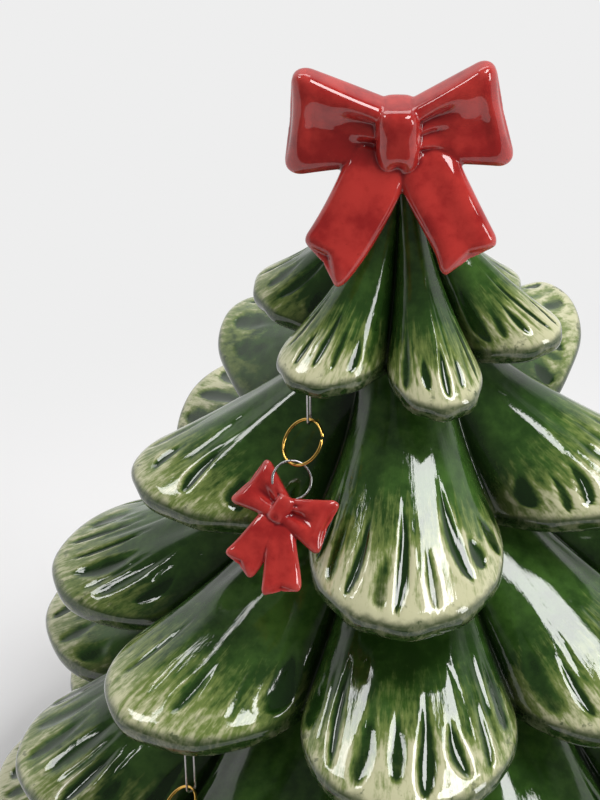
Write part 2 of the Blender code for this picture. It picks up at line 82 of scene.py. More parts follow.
class Amount:
    """A shader value that can be used in sums."""

    def __init__(self, shade, socket):
        self.shade, self.socket = shade, socket

    def calculate(self, operation, a, b):
        return self.shade.node("ShaderNodeMath", {"operation": operation}, {0: a, 1: b})[0]

    def __add__(self, other):
        return self.calculate("ADD", self, other)

    def __sub__(self, other):
        return self.calculate("SUBTRACT", self, other)

    def __mul__(self, other):
        return self.calculate("MULTIPLY", self, other)

    def __rsub__(self, other):
        return self.calculate("SUBTRACT", other, self)

    __radd__ = __add__
    __rmul__ = __mul__

    def at_least(self, other):
        return self.calculate("MAXIMUM", self, other)

    def clamp(self):
        return self.shade.node("ShaderNodeMath", {"operation": "ADD", "use_clamp": True}, {0: self, 1: 0.0})[0]

    def ramp(self, low, high, first=0.0, last=1.0):
        """First below low, last above high, eased between."""
        inputs = {"Value": self, "From Min": low, "From Max": high, "To Min": first, "To Max": last}
        return self.shade.node("ShaderNodeMapRange", {"interpolation_type": "SMOOTHSTEP"}, inputs)[0]


class Shade:
    """The nodes of one material or world, all of them added through one method."""

    def __init__(self, owner):
        owner.use_nodes = True
        self.owner = owner
        self.tree = owner.node_tree
        self.surface = self.tree.nodes.get("Principled BSDF")

    def node(self, kind, settings, inputs):
        node = self.tree.nodes.new(kind)
        for key, value in settings.items():
            setattr(node, key, value)
        for key, value in inputs.items():
            self.put(node.inputs[key], value)
        return [Amount(self, socket) for socket in node.outputs]

    def put(self, socket, value):
        if isinstance(value, Amount):
            self.tree.links.new(value.socket, socket)
        elif isinstance(value, tuple) and len(value) == 3 and socket.type == "RGBA":
            socket.default_value = (*value, 1)
        else:
            socket.default_value = value

    def set(self, **values):
        for key, value in values.items():
            self.put(self.surface.inputs[key.replace("_", " ").title().replace("Ior", "IOR")], value)

    def mix(self, factor, a, b):
        return self.node("ShaderNodeMix", {"data_type": "RGBA"}, {0: factor, 6: a, 7: b})[2]

    def noise(self, vector, scale, detail=2.0, roughness=0.5):
        return self.node("ShaderNodeTexNoise", {}, {"Vector": vector, "Scale": scale, "Detail": detail,
                                                    "Roughness": roughness})[0]

    def place(self):
        """Object coordinates."""
        return self.node("ShaderNodeTexCoord", {}, {})[3]

    def vector(self, operation, *inputs):
        return self.node("ShaderNodeVectorMath", {"operation": operation}, dict(enumerate(inputs)))

    def stretch(self, vector, scale):
        return self.vector("MULTIPLY", vector, scale)[0]

    def rays(self):
        """Whether a ray comes from the camera, and whether from a reflection."""
        found = self.node("ShaderNodeLightPath", {}, {})
        return found[0], found[3]

    def mix_light(self, factor, a, b):
        return self.node("ShaderNodeMixShader", {}, {0: factor, 1: a, 2: b})[0]

    def bump(self, height, strength, distance):
        return self.node("ShaderNodeBump", {}, {"Height": height, "Strength": strength, "Distance": distance})[0]


# The camera sees a flat pale background. Reflections see it low down and behind, and a dark room above and in
# front. All other light from the room is a weak even fill.
background = (0.855, 0.855, 0.855)
fill = (0.815, 0.81, 0.815)
fill_strength = 0.40
room_bright, room_dark = 0.90, 0.12
above, in_front = (0, -0.9, 1), (0, -1, 0.1)
world = Shade(bpy.data.worlds.new("studio"))
scene.world = world.owner
world.tree.nodes.clear()
from_camera, from_gloss = world.rays()
direction = world.node("ShaderNodeTexCoord", {}, {})[0]
upward, forward = (world.vector("DOT_PRODUCT", direction, way)[1] for way in (above, in_front))
room_light = upward.at_least(forward).ramp(0.05, 0.50, room_bright, room_dark)
flat, room, even_fill = (
    world.node("ShaderNodeBackground", {}, {"Color": colour, "Strength": strength})[0]
    for colour, strength in ((background, 1.0), (background, room_light), (fill, fill_strength)))
seen = world.mix_light(from_camera, world.mix_light(from_gloss, even_fill, room), flat)
world.node("ShaderNodeOutputWorld", {}, {"Surface": seen})

# Near the tree the floor is matt paper, which takes its shadow. Farther off it turns into the flat background for
# the camera and for reflections.
floor_size = 3.3
floor_front = -0.30
paper_near, paper_far = 0.09, 0.26
bpy.ops.mesh.primitive_plane_add(size=floor_size, location=(0, floor_front + floor_size / 2, 0))
bpy.ops.object.transform_apply(location=True)
floor = bpy.context.object
floor.name = "floor"
paper = Shade(bpy.data.materials.new("floor_paper"))
paper.set(base_color=(0.835, 0.828, 0.828), roughness=0.9)
even = paper.node("ShaderNodeEmission", {}, {"Color": background})[0]
away = paper.vector("LENGTH", paper.place())[1]
from_camera, from_gloss = paper.rays()
flat_share = away.ramp(paper_near, paper_far) * from_camera.at_least(from_gloss)
matt = Amount(paper, paper.surface.outputs[0])
paper.put(paper.tree.nodes["Material Output"].inputs["Surface"], paper.mix_light(flat_share, matt, even))
floor.data.materials.append(paper.owner)


# Tree body: slip-cast stoneware, five tiers of puffed boughs, each one carved with leaf-shaped strokes. Deep green
# glaze lies thick at the top of a bough and in the strokes, and is wiped back to cream at its tip. It is one piece:
# each tier is a skin that is closed by the wall inside it and reaches into the next tier. Keys are (tier, bough).
apex = 0.176
wall = 0.0045
tree_radius = 0.0955
bough_power = 1.9
crease_sag = 0.0008
crease_rim = 0.45
tier_tips = (0.356, 0.618, 0.822, 0.942, 1.0)
tier_creases = (0.173, 0.309, 0.529, 0.670, 0.817)
tier_roots = (0.042, 0.157, 0.272, 0.471, 0.618)
tier_root_drops = (-0.0080, 0.0350, 0.0680, 0.1000, 0.1310)
tier_drops = (0.0300, 0.0640, 0.0940, 0.1265, 0.1560)
tier_rims = (0.0048, 0.0064, 0.0068, 0.0068, 0.0070)
tier_sinks = (0.0015, 0.0020, 0.0020, 0.0020, 0.0020)
tier_flares = (0.56, 0.84, 0.82, 0.84, 0.88)
tier_points = (0.80, 1.05, 0.66, 0.66, 0.60)
tier_headings = (
    (-40, 17, 75, 138, 192, 246),
    (-76, 1, 78, 145, 182, 218),
    (-92, -47, 1, 50, 96, 138, 175, 212),
    (-68, -23, 22, 67, 112, 157, 202, 247),
    (-90, -54, -18, 18, 54, 90, 126, 162, 198, 234),
)
low_tips = {(0, 1): 0.0025, (0, 2): -0.0010, (0, 3): 0.0030, (0, 5): -0.0020, (1, 0): -0.0035, (1, 1): 0.0020,
            (1, 2): -0.0030, (1, 3): -0.0140, (1, 5): -0.0110, (2, 0): 0.0012, (2, 2): 0.0020, (2, 7): -0.0120}
foot_radius = tree_radius * 0.754
foot_height = 0.0090
foot_ring_width = 0.0060
rows_top, rows_rim, rows_under, rows_inside = 96, 16, 10, 5
tier_columns = (480, 600, 720, 720, 720)
stroke_pitches = (0.0046, 0.0074, 0.0084, 0.0084, 0.0084)
stroke_half_widths = (0.0011, 0.0020, 0.0024, 0.0024, 0.0024)
stroke_depths = (0.00045, 0.00072, 0.00085, 0.00085, 0.00085)
stroke_reach = 0.84
thin_share = 0.7
# a stroke's start and end along the bough, its width and its strength
main_stroke = ((0.36, 0.70), (0.89, 0.97), (0.45, 1.15), (0.50, 1.0))
thin_stroke = ((0.28, 0.62), (0.72, 0.97), (0.28, 0.42), (0.10, 0.45))
lip_share = 0.14
dent_inward, dent_down = 0.6, 0.8
wave_length, wave_height = 0.016, 0.00031
rim_roll = 0.75
rim_lumps, rim_lump_height = 31, 0.0004
tier_overlap = 0.0006
under_sag = 0.0005
foot_bevel = 0.0006
rim_softening = 24
# share of the strokes on the smoother boughs, and how much more or less of the glaze is wiped off than elsewhere
calm = {(2, 1): 0.45, (1, 0): 0.75}
wipes = {(0, 0): 0.04, (0, 1): 0.03, (0, 2): 0.06, (1, 0): -0.05, (1, 1): 0.10, (1, 2): 0.13, (2, 0): -0.10,
         (2, 1): -0.04, (2, 2): 0.03, (2, 3): 0.08}


def carve(across, t, half_width, index, share, rng):
    """Leaf-shaped strokes and the lips beside them over one bough, both 0 to 1."""
    stroke = np.zeros((len(t), len(across)))
    lip = np.zeros_like(stroke)
    number = max(4, int(round(2 * half_width / stroke_pitches[index] * share)))
    places = np.linspace(-stroke_reach, stroke_reach, number) + rng.uniform(-0.30, 0.30, number) / number
    between = places[:-1] + np.diff(places) * rng.uniform(0.40, 0.60, number - 1)
    between = between[rng.random(number - 1) < thin_share]
    for turn, a in enumerate(np.concatenate([places, between])):
        spans = main_stroke if turn < number else thin_stroke
        start, end, width, strength = (rng.uniform(*span) for span in spans)
        width = width * stroke_half_widths[index] / half_width
        bend = rng.uniform(-0.16, 0.16)
        lean = rng.uniform(-0.09, 0.09)
        s = np.clip((t - start) / (end - start), 0, 1)
        middle = a * (1 - 0.10 * (1 - s)) + lean * (s - 0.5) + bend * (s - 0.5) ** 2
        swell = np.sin(np.pi * s**rng.uniform(1.4, 2.4)) ** 0.8
        off = np.abs(across - middle) / (width * (0.12 + 0.88 * swell))
        stroke = np.maximum(stroke, strength * np.minimum(1, 1.6 * swell) * np.exp(-off**2.6))
        lip = np.maximum(lip, strength * swell * np.exp(-((off - 1.50) / 0.46) ** 2))
    return stroke, lip


def lumps(angle, t, spread, rng):
    """Uneven waves by hand, -1 to 1, over a tier, with the length of one wave about spread in radians."""
    found = 0
    for step in range(9):
        turns = round(2 * math.pi / spread * rng.uniform(0.6, 1.4))
        found = found + np.sin(turns * angle + rng.uniform(-9, 9) * t + rng.uniform(0, 6.3))
    return found / 4


def tier_skin(index, rng):
    """Places and glaze masks of one tier's rows and columns."""
    tip, crease, root = (tree_radius * share[index] for share in (tier_tips, tier_creases, tier_roots))
    headings = np.array(tier_headings[index], float)
    count = len(headings)
    per = tier_columns[index] // count
    lows = np.array([low_tips.get((index, n), 0.0) for n in range(count)])
    after = np.append(headings[1:], headings[0] + 360)
    before = np.append(headings[-1] - 360, headings[:-1])
    across = np.tile(np.arange(per) / per * 2 - 1, count)
    bough = np.repeat(np.arange(count), per)
    edge = np.where(across < 0, (before[bough] + headings[bough]) / 2, (headings[bough] + after[bough]) / 2)
    angle = np.radians(headings[bough] + (edge - headings[bough]) * np.abs(across))
    half_width = np.repeat([tip * math.radians(a - b) / 4 for a, b in zip(after, before)], per)

    full = np.clip(1 - np.abs(across) ** bough_power, 0, 1) ** tier_points[index]
    rim_radius = crease + (tip - crease) * full
    rim_height = apex - tier_drops[index] - lows[bough] * (1 - across**2) - crease_sag * (1 - full)
    root_height = apex - tier_root_drops[index]
    t = np.linspace(0, 1, rows_top)[:, None]
    radius = root + (rim_radius - root) * t
    height = root_height + (rim_height - root_height) * t ** tier_flares[index]
    pressed = tier_sinks[index] * (1 - full) * np.sin(np.pi * t**0.8)

    stroke, lip = np.zeros_like(radius), np.zeros_like(radius)
    for n in range(count):
        part = slice(n * per, (n + 1) * per)
        share = calm.get((index, n), 1.0)
        stroke[:, part], lip[:, part] = carve(across[part], t, half_width[n * per], index, share, rng)
    waves = wave_height * lumps(angle, t, wave_length / tip, rng) * np.sin(np.pi * t)
    carved = stroke_depths[index] * (stroke - lip_share * lip) * (0.55 + 0.45 * full)
    inward = pressed + carved + waves
    radius = radius - dent_inward * inward
    height = height - dent_down * inward

    # rolled and slightly lumpy rim, underside, and the wall inside
    rim = tier_rims[index] * (crease_rim + (1 - crease_rim) * full)
    turn = np.linspace(0, math.pi / 2, rows_rim + 1)[1:, None]
    notch = 0.55 * stroke_depths[index] * stroke[-1] * np.cos(turn)
    notch = notch - rim_lump_height * np.sin(rim_lumps * angle + index) * np.sin(2 * turn)
    rim_r = rim_radius - rim_roll * rim * (1 - np.cos(turn)) - notch
    rim_h = rim_height - rim * np.sin(turn)
    if index + 1 < len(tier_tips):
        low_r = tree_radius * tier_roots[index + 1] - tier_overlap
        low_h = apex - tier_root_drops[index + 1] - tier_overlap
        inside_low = (low_r - wall, low_h)
    else:
        low_r, low_h = foot_radius, foot_height
        inside_low = (foot_radius - foot_ring_width, foot_height)
    u = np.linspace(0, 1, rows_under + 1)[1:, None]
    parts_r = [radius, rim_r, rim_r[-1] + (low_r - rim_r[-1]) * u]
    parts_h = [height, rim_h, rim_h[-1] + (low_h - rim_h[-1]) * u - under_sag * np.sin(np.pi * u)]
    ones = np.ones_like(across)
    if index + 1 == len(tier_tips):
        mouth = inside_low[0]
        foot = ((foot_radius, foot_bevel), (foot_radius - foot_bevel, 0.0), (mouth + foot_bevel, 0.0),
                (mouth, foot_bevel))
        parts_r.append(np.array([[r] for r, h in foot]) * ones)
        parts_h.append(np.array([[h] for r, h in foot]) * ones)
    if index:
        v = np.linspace(0, 1, rows_inside)[:, None]
        parts_r.append((inside_low[0] + (root - wall - inside_low[0]) * v) * ones)
        parts_h.append((inside_low[1] + (root_height - inside_low[1]) * v) * ones)
    radius, height = np.vstack(parts_r), np.vstack(parts_h)

    # soften the turn from the upper face into the rim
    low, high = rows_top - 6, rows_top + rows_rim + 3
    for grid in (radius, height):
        for step in range(rim_softening):
            grid[low:high] += 0.25 * (grid[low - 1:high - 1] + grid[low + 1:high + 1] - 2 * grid[low:high])

    rows = radius.shape[0]
    rest = rows - rows_top - rows_rim - rows_under
    along = np.concatenate([np.linspace(0, 1, rows_top), np.linspace(1, 1.15, rows_rim),
                            np.linspace(1.15, 1.5, rows_under), np.full(rest, 2.0)])[:, None] * ones
    marks = np.zeros((rows, len(across), 4))
    marks[:rows_top, :, 0] = stroke
    marks[rows_top:rows_top + rows_rim, :, 0] = stroke[-1] * np.cos(turn)
    marks[:, :, 1] = along / 2
    marks[:, :, 2] = 1 - full
    marks[:rows_top, :, 3] = lip
    chance = rng.uniform(-0.10, 0.04, count)
    wipe = np.array([wipes.get((index, n), chance[n]) for n in range(count)])[bough]

    # where the brush streaks lie: millimetres across and along the bough, far from those of other boughs
    sideways = across * half_width * 1000 + bough * 47.0 + index * 310.0
    ones = np.ones((rows, 1))
    flow = np.stack([sideways * ones, along * (tip - root) * 1300, wipe * ones], 2)
    place = np.stack([radius * np.sin(angle), -radius * np.cos(angle), height], 2)
    return place, marks, flow


def closed_skin(name, place, loop=False, **layers):
    """Mesh of rows and columns that closes around, and either from the last row to the first or at two poles."""
    rows, columns = place.shape[:2]
    mesh = bpy.data.meshes.new(name)
    points = place.reshape(-1, 3)
    column = np.arange(columns)
    after = (column + 1) % columns
    last = rows if loop else rows - 1
    quads = []
    for k in range(last):
        n = (k + 1) % rows
        here, there = k * columns, n * columns
        quads.append(np.stack([here + column, there + column, there + after, here + after], 1))
    quads = np.concatenate(quads)
    triangles = np.zeros((0, 3), int)
    if not loop:
        poles = np.array([points[:columns].mean(0), points[-columns:].mean(0)])
        head, tail = len(points), len(points) + 1
        base = (rows - 1) * columns
        triangles = np.concatenate([np.stack([np.full(columns, head), column, after], 1),
                                    np.stack([np.full(columns, tail), base + after, base + column], 1)])
        points = np.concatenate([points, poles])
    loops = np.concatenate([quads.ravel(), triangles.ravel()])
    sizes = np.concatenate([np.full(len(quads), 4), np.full(len(triangles), 3)])
    mesh.vertices.add(len(points))
    mesh.vertices.foreach_set("co", points.ravel())
    mesh.loops.add(len(loops))
    mesh.loops.foreach_set("vertex_index", loops)
    mesh.polygons.add(len(sizes))
    mesh.polygons.foreach_set("loop_start", np.concatenate([[0], np.cumsum(sizes)[:-1]]))
    mesh.polygons.foreach_set("use_smooth", np.ones(len(sizes), bool))
    mesh.update(calc_edges=True)
    for label, values in layers.items():
        values = values.reshape(rows * columns, -1)
        if not loop:
            values = np.concatenate([values, values[[0, -1]]])
        kind, key = ("FLOAT_COLOR", "color") if values.shape[1] == 4 else ("FLOAT_VECTOR", "vector")
        mesh.attributes.new(label, kind, "POINT").data.foreach_set(key, values.ravel())
    mesh.validate()
    item = bpy.data.objects.new(name, mesh)
    scene.collection.objects.link(item)
    return item


def green_glaze():
    shade = Shade(bpy.data.materials.new("green_glaze_wiped"))
    marks = shade.node("ShaderNodeAttribute", {"attribute_name": "glaze_marks"}, {})
    flow = shade.node("ShaderNodeAttribute", {"attribute_name": "glaze_flow"}, {})[1]
    wipe = shade.node("ShaderNodeSeparateXYZ", {}, {0: flow})[2]
    stroke, along, crease = shade.node("ShaderNodeSeparateColor", {}, {0: marks[0]})[:3]
    lip = marks[3]
    along = along * 2.0
    place = shade.place()
    cloud = shade.noise(place, 55, 3)
    mottle = shade.noise(place, 300, 4, 0.6)
    fine = shade.noise(place, 1100, 2, 0.6)
    streak = shade.noise(shade.stretch(flow, (0.75, 0.13, 0.0)), 1.0, 3, 0.6)
    thread = shade.noise(shade.stretch(flow, (2.2, 0.50, 0.0)), 1.0, 2, 0.6)

    # the glaze thins along the bough from green to lime to bare cream clay, in brush streaks
    wiped = (along + wipe + (streak - 0.5) * 0.66 + (thread - 0.5) * 0.20 + (mottle - 0.5) * 0.34 + lip * 0.24
             - stroke * 0.40 - crease * 0.30)
    deep, leaf = (0.019, 0.054, 0.0085), (0.050, 0.118, 0.020)
    lime, cream = (0.175, 0.230, 0.060), (0.57, 0.56, 0.35)
    colour = shade.mix((cloud * 0.5 + mottle * 0.5).ramp(0.38, 0.66), deep, leaf)
    colour = shade.mix(wiped.ramp(0.52, 0.84), colour, lime)
    colour = shade.mix(wiped.ramp(0.76, 1.00), colour, cream)

    # it pools in the strokes and leaves specks near the tip; the valleys between boughs hold pooled glaze and painted
    # shade, and the underside of the rim is darkened as painted shade
    pooled = (stroke.ramp(0.25, 0.75) * (1.15 - (mottle - 0.5) * 1.6)).clamp()
    colour = shade.mix(pooled * 0.92, colour, (0.0080, 0.027, 0.0042))
    specks = mottle.ramp(0.60, 0.68) * along.ramp(0.80, 1.0) * 0.75
    colour = shade.mix(specks, colour, (0.030, 0.060, 0.012))
    # painted shade: the rim is darkened where it turns under, away from the light
    underside_shade = ((along + (mottle - 0.5) * 0.10).ramp(0.955, 1.005) * (0.92 - (mottle - 0.5) * 1.7)).clamp()
    colour = shade.mix(underside_shade, colour, (0.020, 0.046, 0.010))
    # painted shade in the valleys between boughs, together with the glaze pooled there
    valley_pool_and_shade = crease.ramp(0.45, 0.95) * (1.0 - along.ramp(0.9, 1.1) * 0.5)
    colour = shade.mix(valley_pool_and_shade * 0.85, colour, (0.0030, 0.0085, 0.0022))

    # the wall inside is bare clay
    inside = along.ramp(1.6, 1.9)
    colour = shade.mix(inside, colour, (0.62, 0.58, 0.49))
    height = mottle * 0.5 + fine * 0.06 + streak * 0.8
    shade.set(base_color=colour, ior=1.6, roughness=inside * 0.55 + 0.045 + (fine - 0.5) * 0.02,
              normal=shade.bump(height, 0.10, 0.0004))
    return shade.owner


glaze = green_glaze()
rng = np.random.default_rng(24)
for index in range(len(tier_tips)):
    place, marks, flow = tier_skin(index, rng)
    skin = closed_skin(f"boughs_tier_{index + 1}", place, loop=index > 0, glaze_marks=marks, glaze_flow=flow)
    skin.data.materials.append(glaze)
    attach(skin, "tree")
    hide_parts("tree_body")


# Top bow: one cast and glazed piece, glued to the crown. Two puffed loops with folds towards the knot, two tails
# that follow the slope of the crown, and a knot with a dimple under it, all melted together under the red glaze.
bow_place = (0, -0.0050, apex + 0.0142)
# how boxy the ribbon's section is (0 is a box, 1 an ellipse), and from which share of its length an end closes
loop_puff, tail_puff = 0.55, 0.78
loop_closes, tail_closes = 0.82, 0.90
knot_puff, knot_front_puff, knot_waist = 0.6, 0.75, 0.07
fold_spread = 14
fold_scale = 0.0011


def ease(x):
    x = np.clip(x, 0, 1)
    return x * x * (3 - 2 * x)


def unit(vectors):
    return vectors / np.linalg.norm(vectors, axis=-1, keepdims=True)


def boxy(values, puffed):
    return np.sign(values) * np.abs(values) ** puffed


def closing(share, start):
    """1 up to start, then down to 0 at the end as a quarter of a circle."""
    return np.sqrt(1 - np.clip((share - start) / (1 - start), 0, 1) ** 2)


def ribbon(name, path, side, face, widths, thicknesses, puffed, dents, cut):
    """Puffed length of ribbon along a path: dents press its front in and cut shortens it at its end."""
    around = 120
    turn = np.arange(around) / around * 2 * math.pi
    across, depth = boxy(np.cos(turn), puffed), boxy(np.sin(turn), puffed)
    share = np.linspace(0, 1, len(path))[:, None]
    along = unit(np.gradient(path, axis=0))
    depth = depth * np.where(depth > 0, 1 - dents(share, across), 1)
    wide = (across * widths[:, None] / 2)[..., None] * side[:, None]
    deep = (depth * thicknesses[:, None] / 2)[..., None] * face[:, None]
    return closed_skin(name, path[:, None] + wide + deep - cut(share, across)[..., None] * along[:, None])


def fuse(name, pieces, voxel, smoothing):
    """Melt overlapping pieces into one, and note where its surface is hollow or ridged."""
    bpy.ops.object.select_all(action="DESELECT")
    for piece in pieces:
        piece.select_set(True)
    bpy.context.view_layer.objects.active = pieces[0]
    bpy.ops.object.join()
    item = bpy.context.object
    item.name = name
    melt = item.modifiers.new("melt", "REMESH")
    melt.mode = "VOXEL"
    melt.voxel_size = voxel
    melt.use_smooth_shade = True
    bpy.ops.object.modifier_apply(modifier=melt.name)
    soften = item.modifiers.new("soften", "SMOOTH")
    soften.iterations = smoothing
    bpy.ops.object.modifier_apply(modifier=soften.name)
    note_folds(item)
    return item


def note_folds(item):
    """Attribute folds: 0.5 where the surface is even, less in hollows and more on ridges."""
    mesh = item.data
    count = len(mesh.vertices)
    place, normal = np.zeros(count * 3), np.zeros(count * 3)
    edges = np.zeros(len(mesh.edges) * 2, int)
    mesh.vertices.foreach_get("co", place)
    mesh.vertices.foreach_get("normal", normal)
    mesh.edges.foreach_get("vertices", edges)
    place, normal, edges = place.reshape(-1, 3), normal.reshape(-1, 3), edges.reshape(-1, 2)
    a, b = np.concatenate([edges, edges[:, ::-1]]).T
    number = np.maximum(np.bincount(a, minlength=count), 1)
    length = np.linalg.norm(place[edges[:, 0]] - place[edges[:, 1]], axis=1).mean()

    def around(values):
        return np.bincount(a, values[b], count) / number

    off = np.stack([around(place[:, k]) for k in range(3)], 1) - place
    bend = -np.einsum("ij,ij->i", off, normal) / length**2
    for step in range(fold_spread):
        bend = 0.5 * bend + 0.5 * around(bend)
    folds = np.clip(0.5 + bend * fold_scale, 0, 1)
    mesh.attributes.new("folds", "FLOAT", "POINT").data.foreach_set("value", folds)


def knot(name, width, depth, height, dimple):
    """Rounded block with a slight waist, and a dimple low on its front."""
    up = np.pi * (np.arange(48) + 0.5) / 48
    turn = np.arange(72) / 72 * 2 * math.pi
    rise = boxy(np.cos(up), knot_puff)[:, None]
    wide = (np.sin(up) ** 0.40)[:, None] * (1 - knot_waist * np.cos(np.pi * rise / 2))
    x = wide * boxy(np.cos(turn), knot_puff) * width / 2
    y = wide * boxy(np.sin(turn), knot_front_puff) * depth / 2
    z = rise * height / 2 * np.ones_like(x)
    near = np.exp(-((x / (0.16 * width)) ** 2 + ((z + 0.36 * height) / (0.09 * height)) ** 2)) * (y < 0)
    return closed_skin(name, np.stack([x, y + dimple * near, z], 2))


def pressed_folds(folds, dish):
    """Dents of a loop: a hollow between its puffed edges, and folds that fan out from the knot."""
    def dents(share, across):
        found = dish * np.exp(-((across - 0.02) / 0.58) ** 2) * ease(share / 0.35) * (1 - ease((share - 0.78) / 0.2))
        for middle, width, depth, length in folds:
            line = middle * (0.75 + 0.75 * share)
            body = ease((share + 0.05) / 0.12) * (1 - ease((share - 0.35 * length) / (0.65 * length)))
            found = found + depth * np.exp(-((across - line) / (width * (0.8 + share))) ** 2) * body
        return np.minimum(found, 0.9)
    return dents


def bow(name, size):
    """Loops, tails and knot of a bow that faces -Y, with the middle of its knot at the origin."""
    pieces = [knot(f"{name}_knot", *size["knot"], size["dimple"])]
    pieces[0].data.transform(Matrix.Translation((size["knot_shift"], 0, 0)))
    s = np.linspace(0.04, 1, 110)
    q = np.linspace(0, 1, 90)
    loop_end = closing(s, loop_closes)
    lean = math.radians(size["tail_lean"])
    front = np.array([0, -math.cos(lean), math.sin(lean)])
    hands = zip((-1, 1), size["reaches"], size["loop_angles"], size["folds"], size["tail_bends"],
                size["tail_lengths"], size["tail_ends"])
    for hand, reach, rise, folds, bends, length, (notch, slant) in hands:
        rise = math.radians(rise)
        out = np.array([hand * math.cos(rise), 0, math.sin(rise)])
        bend = size["loop_bend"] * np.sin(np.pi * s / 2)
        path = out * reach * s[:, None] + np.array([0, 1, 0]) * bend[:, None]
        side = np.tile([-hand * math.sin(rise), 0, math.cos(rise)], (len(s), 1))
        heights = size["root_height"] + (size["end_height"] - size["root_height"]) * s**1.2
        thick = size["loop_thickness"] * (0.80 + 0.20 * np.sin(np.pi * s**0.8)) * (0.22 + 0.78 * loop_end)
        pieces.append(ribbon(
            f"{name}_loop", path, side, np.tile([0.0, -1, 0], (len(s), 1)), heights * (0.72 + 0.28 * loop_end), thick,
            loop_puff,
            pressed_folds(folds, size["dish"]),
            lambda share, across: size["loop_notch"] * (1 - across**2) * ease((share - 0.5) / 0.5)))

        # a tail leaves the knot in the plane that leans with the crown, and bends in it
        splay = np.radians(np.interp(q, np.linspace(0, 1, len(bends)), bends))
        down = np.stack([hand * np.sin(splay), -np.cos(splay) * math.sin(lean), -np.cos(splay) * math.cos(lean)], 1)
        outward = np.cross(down, front)
        outward = outward * np.sign(outward[:, :1]) * hand
        lift = size["tail_lift"] * np.sin(2 * np.pi * q)
        start = np.array([hand * size["tail_start"], 0, -0.3 * size["knot"][2]])
        path = start + np.cumsum(down, 0) * length / len(q) + front * lift[:, None]
        first, last = size["tail_widths"]
        tip = closing(q, tail_closes)
        widths = (first + (last - first) * ease(q)) * (0.80 + 0.20 * tip)
        thick = size["tail_thickness"] * (0.84 + 0.16 * np.sin(np.pi * q)) * (0.35 + 0.65 * tip)
        pieces.append(ribbon(
            f"{name}_tail", path, outward, np.tile(front, (len(q), 1)), widths, thick, tail_puff,
            lambda share, across: 0.20 * np.exp(-((across + 0.1) / 0.5) ** 2) * ease(share / 0.3),
            lambda share, across: (notch * (1 - np.abs(across)) ** 1.2 + slant * (1 + across) / 2)
            * ease((share - 0.6) / 0.4)))
    return fuse(name, pieces, size["voxel"], size["smoothing"])


# Pairs are left and right. A fold is its place across the loop, width, depth and length. Tail bends are degrees from
# straight down, from knot to end, and a tail's end has the depth of its notch and of its slant.
top_bow_size = dict(
    reaches=(0.0228, 0.0205), root_height=0.0112, end_height=0.0240, loop_angles=(5.5, 11.5), loop_thickness=0.0104,
    loop_bend=0.0020, loop_notch=0.0007, dish=0.36,
    folds=(((0.36, 0.20, 0.34, 0.66), (-0.32, 0.20, 0.38, 0.60)),
           ((0.44, 0.19, 0.38, 0.74), (-0.06, 0.17, 0.34, 0.52), (-0.56, 0.17, 0.30, 0.50))),
    tail_start=0.0040, tail_lengths=(0.0268, 0.0256), tail_lean=34, tail_bends=((20, 26, 32, 41), (15, 27, 28, 6)),
    tail_ends=((0.0024, 0.0026), (0.0016, 0.0046)), tail_widths=(0.0128, 0.0122), tail_thickness=0.0074,
    tail_lift=0.0006, knot=(0.0098, 0.0132, 0.0138), knot_shift=-0.0010, dimple=0.0012, voxel=0.00026, smoothing=6,
)


def red_glaze():
    shade = Shade(bpy.data.materials.new("red_glaze_pooled"))
    folds = shade.node("ShaderNodeAttribute", {"attribute_name": "folds"}, {})[2]
    place = shade.place()
    cloud = shade.noise(place, 120, 3)
    mottle = shade.noise(place, 500, 3, 0.6)
    colour = shade.mix((cloud * 0.7 + mottle * 0.3).ramp(0.38, 0.62), (0.30, 0.015, 0.014), (0.46, 0.034, 0.027))
    # deeper in the hollows, where the glaze pools and painted shade is added, and paler and pinker on the ridges, a
    # painted highlight where the glaze also runs thin
    # pooled glaze and painted shade in the hollows
    colour = shade.mix((0.5 - folds).ramp(0.02, 0.30) * 0.85, colour, (0.150, 0.004, 0.007))
    # painted highlight on the ridges, with thinner glaze there
    colour = shade.mix((folds - 0.5 + (mottle - 0.5) * 0.05).ramp(0.08, 0.36) * 0.60, colour, (0.54, 0.080, 0.068))
    specks = shade.noise(place, 2200, 1, 0.5).ramp(0.72, 0.80)
    colour = shade.mix(specks * 0.30, colour, (0.10, 0.004, 0.005))
    shade.set(base_color=colour, ior=1.6, roughness=0.055 + (mottle - 0.5) * 0.02,
              normal=shade.bump(cloud * 0.7 + mottle * 0.3, 0.10, 0.0004))
    return shade.owner


red = red_glaze()
crown_bow = bow("crown_bow", top_bow_size)
crown_bow.data.transform(Matrix.Translation(bow_place))
crown_bow.data.materials.append(red)
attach(crown_bow, "tree")
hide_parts("top_bow")


